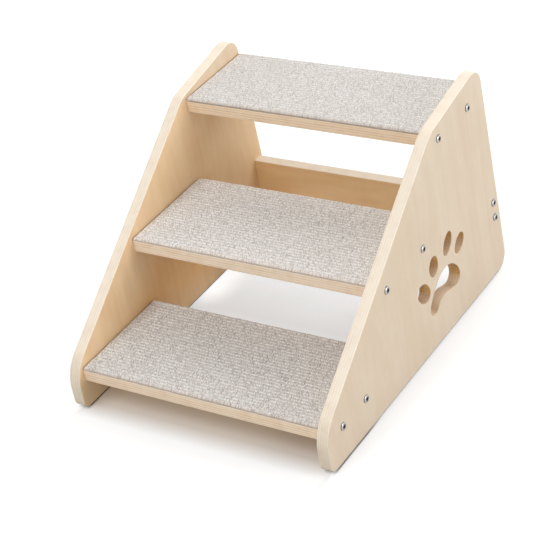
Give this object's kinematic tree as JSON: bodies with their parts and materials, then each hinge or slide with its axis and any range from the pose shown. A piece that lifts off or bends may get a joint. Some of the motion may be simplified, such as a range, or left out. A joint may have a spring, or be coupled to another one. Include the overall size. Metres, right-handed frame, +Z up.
{
  "type": "pet stairs",
  "caption": "Plywood pet stairs: carpeted treads between rounded side panels with a paw cut-out, joined by a low back rail and low-headed furniture bolts.",
  "frame": {"origin": "on the floor, under the middle of the overall box", "axes": "+X across the stairs to the right as seen from the front, +Y from the front to the back, +Z up"},
  "size_m": [0.4344, 0.525, 0.3396],
  "materials": {
    "panel_plywood": "satin clear lacquer on birch plywood, cut edges show the plies",
    "board_plywood": "satin clear lacquer on birch plywood, cut edges show the plies",
    "loop_carpet": "matt ribbed loop pile",
    "carpet_backing": "matt",
    "grip_strip": "matt",
    "bolt_steel": "zinc plated, semi-gloss",
    "nut_steel": "zinc plated, dull"
  },
  "bodies": {
    "root": {"left_panel": "panel_plywood", "right_panel": "panel_plywood", "lower_tread": "board_plywood", "middle_tread": "board_plywood", "upper_tread": "board_plywood", "back_rail": "board_plywood", "lower_backing": "carpet_backing", "middle_backing": "carpet_backing", "upper_backing": "carpet_backing", "lower_carpet": "loop_carpet", "middle_carpet": "loop_carpet", "upper_carpet": "loop_carpet", "left_grip_strip": "grip_strip", "right_grip_strip": "grip_strip", "lower_bolts_left": "bolt_steel", "lower_bolts_right": "bolt_steel", "middle_bolts_left": "bolt_steel", "middle_bolts_right": "bolt_steel", "upper_bolts_left": "bolt_steel", "upper_bolts_right": "bolt_steel", "rail_bolts_left": "bolt_steel", "rail_bolts_right": "bolt_steel", "lower_nuts_left": "nut_steel", "lower_nuts_right": "nut_steel", "middle_nuts_left": "nut_steel", "middle_nuts_right": "nut_steel", "upper_nuts_left": "nut_steel", "upper_nuts_right": "nut_steel", "rail_nuts_left": "nut_steel", "rail_nuts_right": "nut_steel"}
  },
  "joints": []
}
